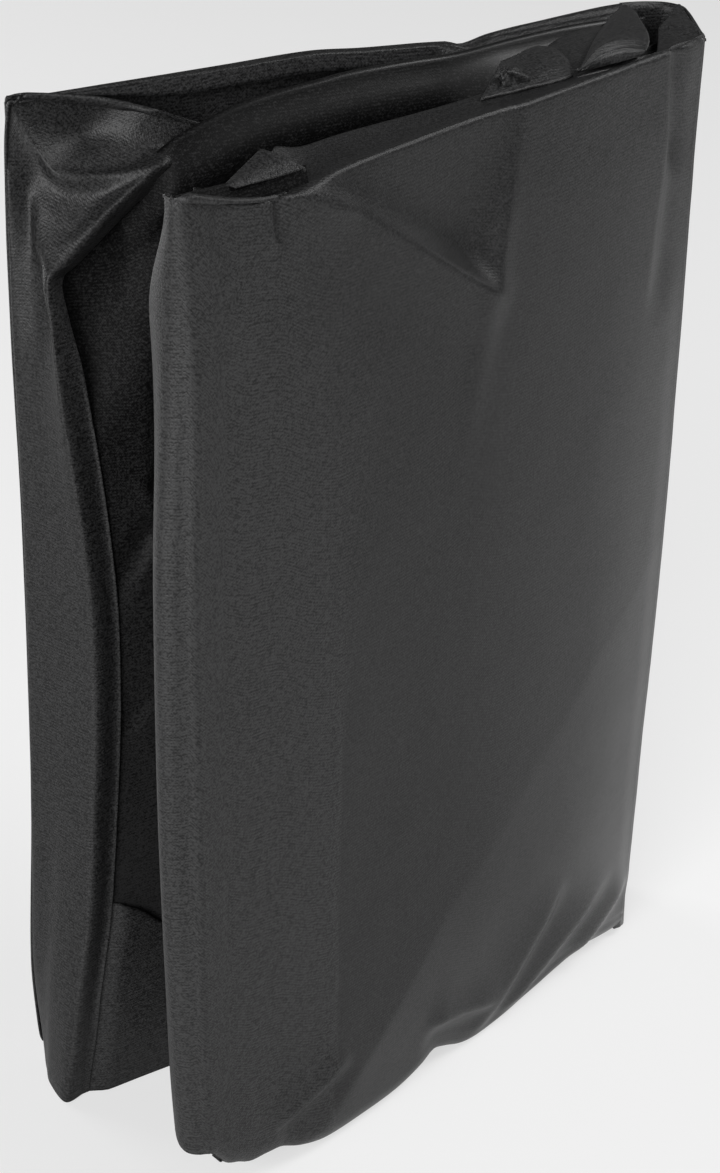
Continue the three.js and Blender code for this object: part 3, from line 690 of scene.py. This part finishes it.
# Back wrap
# The sheet round the back leaf: its outer face, the band that it makes along the top, and its foot.
BACK_LENGTH, BACK_THICKNESS = 0.247, 0.022
BACK_TOP = [(0.06, 1.011), (0.1, 1.01), (0.19, 1.005), (0.29, 0.998), (0.335, 0.992), (0.36, 0.996),
            (0.5, 1), (0.58, 1.003), (0.71, 1), (0.85, 0.997), (1, 0.994)]
BACK_CORNER = [(0, 0.2495), (0.04, 0.251), (0.12, 0.252), (0.31, 0.2485), (0.6, 0.2465), (0.8, 0.2465),
               (0.95, 0.2455), (1, 0.2435)]
BACK_COLUMNS = (100, 8, 0)
BACK_START = LEAF_LENGTH * 0.06
BACK_RADIUS = 0.004


def back_top(along):
    return PACKET_HEIGHT * follow(BACK_TOP, along / BACK_LENGTH)


def back_outline(column, up):
    """Where the back sheet stands, as front_outline says; it ends at the mouth corner."""
    face, corner, _ = BACK_COLUMNS
    mouth = follow(BACK_CORNER, up / PACKET_HEIGHT)
    if column <= face:
        share = column / face
        along = BACK_START + (BACK_LENGTH - BACK_RADIUS - BACK_START) * share
        along += (mouth - BACK_LENGTH) * smooth(0.7, 1, share)
        return along, BACK_THICKNESS, 0, -1, 0.0045 + 0.03 * smooth(0.995, 0.95, share)
    turn = pi / 2 * (column - face) / corner
    return (mouth - BACK_RADIUS * (1 - sin(turn)), BACK_THICKNESS - BACK_RADIUS * (1 - cos(turn)),
            -sin(turn), -cos(turn), 0.0038)


# Four long soft folds of a face that the photo does not show.
BACK_CREASES = [
    ((0.235, 0.330), (0.150, 0.240), 0.0022, 0.0016, 0.006, 0.02, 0.2),
    ((0.060, 0.350), (0.075, 0.200), 0.0018, 0.0012, 0.007, 0.02, 0.3),
    ((0.190, 0.120), (0.225, 0.020), 0.0020, 0.0014, 0.006, 0.02, 0.25),
    ((0.045, 0.060), (0.130, 0.018), 0.0020, 0.0014, 0.005, 0.014, 0.25),
]


def back_relief(along, up):
    point = Vector((along, up, 4))
    height = 0.0012 * unrest(point, 0.11, 7) + 0.0003 * unrest(point, 0.025, 8)
    for fold in BACK_CREASES:
        height += crease(along, up, *fold)
    return height


def back_ring(along):
    """The back sheet's path; towards the fold its turned edge is gathered into pleats."""
    gathered = smooth(0.097, 0.080, along)
    turn_in = 0.0032 + 0.0034 * smooth(0.245, 0.17, along) + 0.0100 * gathered

    def pleat(share):
        turns = 2.3 * share ** 1.3 + 0.8 * smooth(0.09, 0.01, along)
        turns += 0.3 * unrest(Vector((along, share * 0.02, 0)), 0.03, 2)
        fold = 0.0034 * gathered * (abs(sin(pi * turns)) ** 0.6 - 0.75) * min(1, 5 * (1 - share))
        line = 0.0003 * unrest(Vector((along * 0.3, share * 0.03, 1)), 0.006, 3)
        return fold + line - 0.0016 * gathered * (1 - share)

    return wrap_ring(back_top(min(along, BACK_LENGTH)), 0.0, turn_in, 0.016,
                     drop=0.006, lift=0.0002, dip=0.0004, pleat=pleat)


back_wrap = cloth_piece("back_wrap_cloth", sum(BACK_COLUMNS), WRAP_ROWS,
                        wrap_place(BACK, BACK_COLUMNS, BACK_START, back_outline, back_ring, back_relief))
dress(back_wrap, OPEN_CLOTH, "coated_cloth", "back_leaf", "back_wrap", flat=(0.24, 0.41))


# Back end cloth
# The mouth end of the back leaf and the corner of the same cloth, laid back into a shallow bowl.
END_NET = [
    [(246, 19.5, 0.5), (249.5, 16, 0.5), (252, 8, 0.5),
     (254, 0, 0.5), (253, -12.6, 0.5), (245.5, -11.4, 0.5), (243, -11.2, 0.5)],
    [(250, 19.5, 42), (252, 16, 42), (251, 8, 42),
     (250.5, 0, 42), (246.5, -11.9, 42), (239, -10.4, 42), (236.5, -10.9, 42)],
    [(249, 19.5, 84), (250.2, 16, 84), (247, 8, 84),
     (245, 0, 84), (239.5, -10.6, 84), (232, -9.0, 84), (229.5, -9.2, 84)],
    [(246, 19.5, 164), (247.5, 16, 164), (243, 8, 164),
     (239, 1, 164), (233.5, -8.4, 164), (225.5, -6.65, 164), (223, -6.9, 164)],
    [(245, 19.5, 217), (246.5, 16, 217), (242, 8, 217),
     (238.5, 1, 217), (234, -6.9, 217), (226, -5.1, 217), (223.5, -5.4, 217)],
    [(245, 19.5, 276), (246.5, 16, 276), (241.5, 8, 276),
     (240, 1, 276), (239.5, -4.9, 276), (232, -3.2, 276), (229.5, -3.3, 276)],
    [(245, 19.5, 300), (246.2, 16, 300), (240.5, 11, 300),
     (238.5, 4, 300), (241, -3.2, 300), (236.5, -2.0, 300), (233, 0.2, 299)],
    [(244.8, 19.5, 316), (246, 16, 315), (240.5, 12.5, 314.5),
     (239, 6.5, 314), (241.3, 1, 314), (240, -1.5, 314), (233.5, 3.6, 312)],
    [(244.6, 19.6, 330), (245.6, 16.5, 329), (239.5, 14.5, 327),
     (240, 9.5, 325), (237.5, 3.5, 322.5), (233.5, -0.5, 319.5), (227, 5.0, 316.5)],
    [(244.4, 19.7, 344), (245, 17, 342), (238.5, 16.4, 338),
     (236, 11, 333), (229.5, 4.5, 328.5), (220, 0, 331.5), (213.5, 6.0, 327.0)],
    [(244.2, 19.8, 354), (243.4, 19, 352), (235.5, 16.8, 345),
     (230, 11.6, 338.5), (219, 6.4, 337.0), (205, 0.5, 343), (198.5, 6.4, 338.4)],
    [(243.8, 20, 365.6), (241.6, 19.6, 364), (235.6, 16.0, 352.0),
     (230, 10.6, 344.4), (215.6, 6.0, 343.4), (199, 0.8, 346.6), (192.5, 5.6, 342)],
    [(243.6, 20.1, 366.8), (240.2, 19.6, 365.4), (233, 17.6, 354.0),
     (227, 13.6, 347.0), (209.5, 8.6, 345.6), (196.5, 4.2, 348.6), (190.5, 8.2, 344.6)],
    [(243.5, 20.1, 367.8), (239.0, 19.4, 367.2), (228.5, 19.6, 359.0),
     (218, 19.2, 353.4), (204.5, 12.0, 352.4), (191.5, 8.4, 348.8), (186, 11.4, 345.6)],
    [(243.2, 20.1, 368.4), (238, 18.8, 368.3), (224, 18.2, 366.0),
     (209.5, 16.4, 362.8), (198.5, 10.6, 359.4), (184, 7.6, 353.0), (179, 10.4, 349.6)],
    [(243.1, 20.2, 368.8), (237.6, 18.4, 368.7), (221.6, 17.2, 366.0),
     (206.6, 14.4, 362.9), (195.6, 9.0, 360.2), (183, 7.4, 355.8), (177, 11.6, 352.4)],
    [(243, 20.2, 368), (237.2, 19.2, 367.6), (221.2, 18.2, 364.6),
     (206.2, 15.6, 361.4), (195.6, 10.6, 358.8), (182.6, 9.0, 354.6), (176.6, 13.0, 351.4)]]
back_end = cloth_piece("back_end_cloth", 72, 180, lofted(BACK, END_NET, 0.0004, 0.03))
dress(back_end, OPEN_CLOTH, "coated_cloth_light", "back_leaf", "back_end_panel", "back_corner_bowl",
      flat=(0.045, 0.39))


# Back inner ply
# The ply that faces the V; its top edge is folded back into a long soft ridge.
RIDGE = [(0.018, 0.3735), (0.046, 0.373), (0.069, 0.371), (0.091, 0.3685), (0.111, 0.368),
         (0.131, 0.367), (0.143, 0.3655), (0.158, 0.3635), (0.171, 0.361), (0.180, 0.358),
         (0.194, 0.3525), (0.200, 0.3475), (0.208, 0.3395), (0.215, 0.334), (0.225, 0.325),
         (0.234, 0.317), (0.240, 0.311)]
UPRIGHT = [(0, 0.249), (0.042, 0.243), (0.084, 0.236), (0.164, 0.2295), (0.217, 0.230), (0.276, 0.236),
           (0.305, 0.2385), (0.37, 0.240)]


RIDGE_ROWS, RIDGE_RADIUS = 0.94, 0.0018


def inner_side(along, up):
    """How far the inner side of the back leaf swells into the V, most at the foot of the mouth."""
    return -0.012 * (along / BACK_LENGTH) ** 2 * (1 - (up / PACKET_HEIGHT) ** 1.5)


# Three crumples near the mouth.
INNER_CREASES = [
    ((0.211, 0.238), (0.204, 0.225), 0.0022, 0.0045, 0.003, 0.007, 0.3),
    ((0.229, 0.186), (0.203, 0.220), 0.0028, 0.0055, 0.0035, 0.010, 0.3),
    ((0.219, 0.144), (0.211, 0.153), 0.0016, 0.0035, 0.003, 0.006, 0.4),
]


def back_inner_place(u, v):
    """Up the ply's face for most of the rows, then over the ridge and down behind it."""
    rise, roll = min(1, v / RIDGE_ROWS), max(0, (v - RIDGE_ROWS) / 0.06)
    top = follow(RIDGE, INNER_START + (0.240 - INNER_START) * u)
    reach = follow(UPRIGHT, top * rise)
    along = INNER_START + (reach - INNER_START) * u
    top = follow(RIDGE, along)
    shown = 1 - smooth(0.195, 0.21, along)
    up = (top - RIDGE_RADIUS) * rise
    below = top - up
    lean = shown * (0.0045 * smooth(0.013, 0, below)
                    + 0.0090 * smooth(0.014, 0.030, below) * smooth(0.200, 0.035, below))
    lean += ((1 - shown) * (0.0015 + 0.0125 * smooth(0.070, 0.025, below))
             + 0.0012 * smooth(0.008, 0, reach - along))
    near_fold = (-0.13 * along * smooth(0.100, 0.075, along) * smooth(0.0, 0.022, below)
                 * smooth(0.28, 0.34, up))
    point = Vector((along, up, 2))
    relief = 0.0010 * unrest(point, 0.07, 3) + 0.0002 * unrest(point, 0.02, 4)
    for fold in INNER_CREASES:
        relief += crease(along, up, *fold)
    relief *= smooth(0, 0.03, reach - along) * smooth(0, 0.02, up)
    turn = pi * min(1, roll * 1.4)
    back = max(0, roll - 0.7) / 0.3
    out = inner_side(along, up) + lean + near_fold - relief + RIDGE_RADIUS * (1 - cos(turn))
    return leaf_place(BACK, along, out, up + RIDGE_RADIUS * sin(turn) - 0.010 * back)


def back_inner_state(u, v):
    """The folded ridge is rubbed shiny."""
    return 0.5, 0.55 * smooth(0.890, 0.925, v) * smooth(0.80, 0.70, u)


back_inner = cloth_piece("back_inner_cloth", 110, 150, back_inner_place, turned=True,
                         state=back_inner_state)
dress(back_inner, SHADED_INNER_CLOTH, "coated_cloth_shade", "back_leaf", "back_inner_ply", flat=(0.225, 0.38))


# Back ply stack
# The same folded plies in the back leaf; they stop lower towards the mouth, under the laid-back corner.
HOLLOW = [(0.1, 0.965), (0.4, 0.958), (0.6, 0.92), (0.75, 0.82), (0.85, 0.76), (1, 0.69)]


def back_stack_top(along):
    return PACKET_HEIGHT * follow(HOLLOW, along / BACK_LENGTH)


columns, place = stack_place(BACK, 0.0036, 0.0182, 0.2295, back_stack_top, lambda along: STACK_FOOT)
back_stack = cloth_piece("back_ply_stack_cloth", columns, 6, place, thickness=PLY_THICKNESS)
dress(back_stack, SHADED_INNER_CLOTH, "coated_cloth_shade", "back_leaf", "back_ply_stack",
      flat=(PLIES * 0.21, 0.33))


# Back hem fold
# A hem lies along the foot of the inner ply, its upper edge folded under.
HEM_TOP = [(0.135, 0.040), (0.185, 0.056), (0.210, 0.064), (0.221, 0.073), (0.236, 0.081)]


HEM_START, HEM_ROWS = 0.14, 0.9


def hem_place(u, v):
    up = follow(HEM_TOP, HEM_START + 0.1 * u) * min(1, v / HEM_ROWS)
    reach = follow(UPRIGHT, up)
    along = HEM_START + (reach - HEM_START) * u
    fold = max(0, (v - HEM_ROWS) / 0.1)
    swell = 0.0009 * (1 - smooth(0, 1, v)) + 0.0004 * unrest(Vector((along, up, 1)), 0.03, 2)
    sunk = 0.0036 * smooth(0.014, 0.004, reach - along)
    out = inner_side(along, up) - 0.0012 - swell + 0.0008 * sin(pi / 2 * fold) + sunk
    return leaf_place(BACK, along, out, max(FLOOR_GAP, up + 0.0004 * fold))


hem = cloth_piece("back_hem_cloth", 50, 36, hem_place, turned=True)
dress(hem, OPEN_CLOTH, "coated_cloth", "back_leaf", "back_hem_fold", flat=(0.1, 0.062))


# Spine wrap
# One sheet runs round the fold from the front leaf to the back leaf.
SPINE_TURN = [(-15.6, -21.4), (-14.2, -21.6), (-12.0, -21.6), (-9.6, -19.6), (-5.4, -12.4), (1.2, -1.6),
              (7.2, 8.0), (9.4, 13.6), (7.0, 19.4), (1.0, 22.4), (-5.4, 23.6), (-11.5, 23.6)]
SPINE_TOP = [(0, 0.371), (0.4, 0.3712), (0.7, 0.3725), (1, 0.374)]


SEAM = 0.0155
SPINE_FOOT = 0.0005


def spine_place(u, v):
    """Round the fold by u; near the front wrap the strip takes up that sheet's relief."""
    x, y, _ = glide([Vector((*point, 0)) * 0.001 for point in SPINE_TURN], u)
    foot = SPINE_FOOT + (front_foot(SEAM) - SPINE_FOOT) * smooth(0.5, 0.2, u)
    up = foot + (follow(SPINE_TOP, u) - foot) * v
    crumple = 0.0007 * unrest(Vector((u * 0.06, up, 6)), 0.05, 9) * sin(pi * u)
    drawn = front_relief(SEAM, up) * min(1, (0.371 - up) / 0.004) - drawn_in(SEAM)
    drawn *= 1 - smooth(0.2, 0.5, u)
    shift = Vector((sin(HALF_OPENING), -cos(HALF_OPENING), 0)) * (drawn + 0.0010 * smooth(0.4, 0.2, u))
    return FOLD_PLACE + shift + Vector((x + crumple, y - crumple * 0.6, up))


def spine_state(u, v):
    up = PACKET_HEIGHT * v
    glaze = 0.36 + 0.45 * smooth(0.40, 0.22, up) + 0.3 * smooth(0.09, 0.03, up)
    # Slack here is painted light: the highlight of the front's fold edge carried round the spine, lighter
    # towards the top.
    return 0.42 + 0.25 * smooth(0.28, 0.36, up), glaze * smooth(0.75, 0.3, u)


spine = cloth_piece("spine_wrap_cloth", 60, 110, spine_place, state=spine_state)
dress(spine, OPEN_CLOTH, "coated_cloth", None, "spine_wrap", flat=(0.071, 0.372))
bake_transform(spine)


# Spine inner fold
# Inside the spine the next ply is folded into a shallow slope, seen in the hollow at the top.
INNER_FOLD = [[(7.4, 12.6, 373.2), (7.2, 12.9, 373.2), (7.0, 13.2, 373.2)],
              [(1.6, 2.2, 371.6), (-1.2, 5.2, 371.4), (-3.0, 7.2, 371.4)],
              [(-3.7, -7.2, 371.2), (-8.6, -2.2, 371.0), (-12.2, 1.6, 370.8)],
              [(-4.7, -8.8, 371.7), (-9.8, -3.6, 371.7), (-13.6, 0.6, 371.3)],
              [(-5.7, -10.6, 371.2), (-11.6, -5.2, 370.8), (-15.4, -0.6, 370.4)],
              [(-8.1, -14.6, 370.3), (-16.5, -11.5, 369.6), (-24.0, -9.5, 369.0)],
              [(-10.4, -18.8, 370.4), (-21.5, -19.0, 369.6), (-33.0, -18.4, 368.8)]]
inner_fold = cloth_piece("spine_inner_cloth", 24, 30, plan_lofted(INNER_FOLD))
dress(inner_fold, LIT_LOOSE_CLOTH, "coated_cloth_shade", "back_leaf", flat=(0.025, 0.019))


# Tongue flap
# A three-cornered tongue lies across the top of the fold, its front edge rolled under.
TONGUE = [[(-77.0, -28.0, 371.0), (-66.0, -27.0, 371.0), (-55.5, -26.5, 371.2), (-46.5, -25.5, 371.4)],
          [(-78.5, -30.0, 372.4), (-66.5, -27.2, 373.8), (-55.0, -26.2, 374.2), (-44.8, -25.6, 373.0)],
          [(-76.0, -28.5, 373.0), (-63.0, -23.0, 375.4), (-50.5, -21.0, 375.6), (-37.5, -19.4, 373.4)],
          [(-66.5, -20.5, 373.4), (-55.5, -15.5, 374.8), (-43.5, -13.0, 375.4), (-30.0, -10.5, 373.8)],
          [(-51.0, -7.0, 373.4), (-43.0, -4.0, 374.2), (-33.0, -2.0, 374.6), (-22.5, 0.5, 373.8)],
          [(-33.5, 7.0, 373.2), (-28.0, 8.5, 374.2), (-22.5, 9.5, 374.4), (-15.5, 11.0, 373.8)],
          [(-17.5, 18.0, 373.4), (-15.5, 18.8, 374.0), (-13.5, 19.4, 374.0), (-11.0, 19.8, 373.6)]]
lay_tongue = plan_lofted(TONGUE)


def tongue_place(u, v):
    arc = v + 0.05 * (2 * u - 1) ** 2
    folds = 0.0010 * exp(-(((arc - 0.36) / 0.035) ** 2)) - 0.0008 * exp(-(((arc - 0.27) / 0.025) ** 2))
    folds += 0.0006 * exp(-(((arc - 0.21) / 0.02) ** 2)) - 0.0006 * exp(-(((arc - 0.55) / 0.06) ** 2))
    return lay_tongue(u, v) + Vector((0, 0, folds * sin(pi * u)))


tongue = cloth_piece("tongue_flap_cloth", 36, 90, tongue_place)
dress(tongue, LIT_LOOSE_CLOTH, "coated_cloth_light", "back_leaf", "tongue_flap", flat=(0.0225, 0.049))


# Floor, light and camera
# A plain pale floor, a large soft light on the left, one over the floor on the right, which the
# glazed cloth mirrors, one behind, and a weak one on the right.
FLOOR_SIZE, FLOOR_DROP = 6.0, 0.0005
FLOOR_VEIL = 0.6
floor_mesh = bpy.data.meshes.new("floor")
floor_grid = bmesh.new()
bmesh.ops.create_grid(floor_grid, x_segments=1, y_segments=1, size=FLOOR_SIZE)
floor_grid.to_mesh(floor_mesh)
floor_grid.free()
floor = bpy.data.objects.new("floor", floor_mesh)
bpy.context.scene.collection.objects.link(floor)
floor.location.z = -FLOOR_DROP
floor_paint = bpy.data.materials.new("floor paint")
floor_paint.use_nodes = True
tree = floor_paint.node_tree
paint = tree.nodes["Principled BSDF"]
paint.inputs["Base Color"].default_value = (0.86, 0.86, 0.86, 1)
paint.inputs["Roughness"].default_value = 0.9
glow = tree.nodes.new("ShaderNodeEmission")
veil = tree.nodes.new("ShaderNodeMixShader")
seen = Socket(tree, tree.nodes.new("ShaderNodeLightPath").outputs["Is Camera Ray"])
(seen * FLOOR_VEIL).put(veil.inputs[0])
Socket(tree, paint.outputs[0]).put(veil.inputs[1])
Socket(tree, glow.outputs[0]).put(veil.inputs[2])
Socket(tree, veil.outputs[0]).put(tree.nodes["Material Output"].inputs["Surface"])
floor_mesh.materials.append(floor_paint)


def soft_light(name, place, aim, size, power):
    """A square lamp of (width, height) at a place, turned to its aim."""
    data = bpy.data.lights.new(name, "AREA")
    data.shape, data.size, data.size_y = "RECTANGLE", size[0], size[1]
    data.energy = power
    lamp = bpy.data.objects.new(name, data)
    lamp.location = place
    lamp.rotation_euler = (Vector(aim) - Vector(place)).to_track_quat("-Z", "Y").to_euler()
    bpy.context.scene.collection.objects.link(lamp)


AIM = (0, 0, 0.18)
soft_light("left", (-1.6, -1.0, 0.9), AIM, (1.0, 1.2), 36)
soft_light("over the floor", (0.75, -0.55, 1.2), (0.45, -0.35, 0), (0.6, 0.6), 10)
soft_light("back", (-0.7, 2.2, 0.7), AIM, (1.2, 1.2), 24)
soft_light("right", (2.2, 0.3, 0.5), AIM, (1.0, 0.8), 2.5)

SEEN_WORLD, LIT_WORLD = 0.90, 0.10
world = bpy.data.worlds.new("studio")
world.use_nodes = True
bpy.context.scene.world = world
background = world.node_tree.nodes["Background"]
rays = Socket(world.node_tree, world.node_tree.nodes.new("ShaderNodeLightPath").outputs["Is Camera Ray"])
(rays * SEEN_WORLD + LIT_WORLD).put(background.inputs["Strength"])
background.inputs["Color"].default_value = (1, 1, 1, 1)

PICTURE_HEIGHT, FOCAL_PIXELS, SENSOR_HEIGHT = 1173, 2396, 36
CAMERA_FROM_FOLD = Vector((-0.5930, -0.5874, 0.5783))
HEADING, DOWNWARD, ROLL = radians(52.35), radians(27.48), radians(1.0)
camera_data = bpy.data.cameras.new("camera")
camera_data.sensor_fit, camera_data.sensor_height = "VERTICAL", SENSOR_HEIGHT
camera_data.lens = FOCAL_PIXELS / PICTURE_HEIGHT * SENSOR_HEIGHT
camera = bpy.data.objects.new("camera", camera_data)
forward = Vector((cos(DOWNWARD) * cos(HEADING), cos(DOWNWARD) * sin(HEADING), -sin(DOWNWARD)))
level = Vector((sin(HEADING), -cos(HEADING), 0))
right = level * cos(ROLL) + level.cross(forward) * sin(ROLL)
above = right.cross(forward)
camera.matrix_world = Matrix((right, above, -forward)).transposed().to_4x4()
camera.location = FOLD_PLACE + CAMERA_FROM_FOLD
bpy.context.scene.collection.objects.link(camera)
bpy.context.scene.camera = camera
bpy.context.scene.view_settings.view_transform = "Standard"
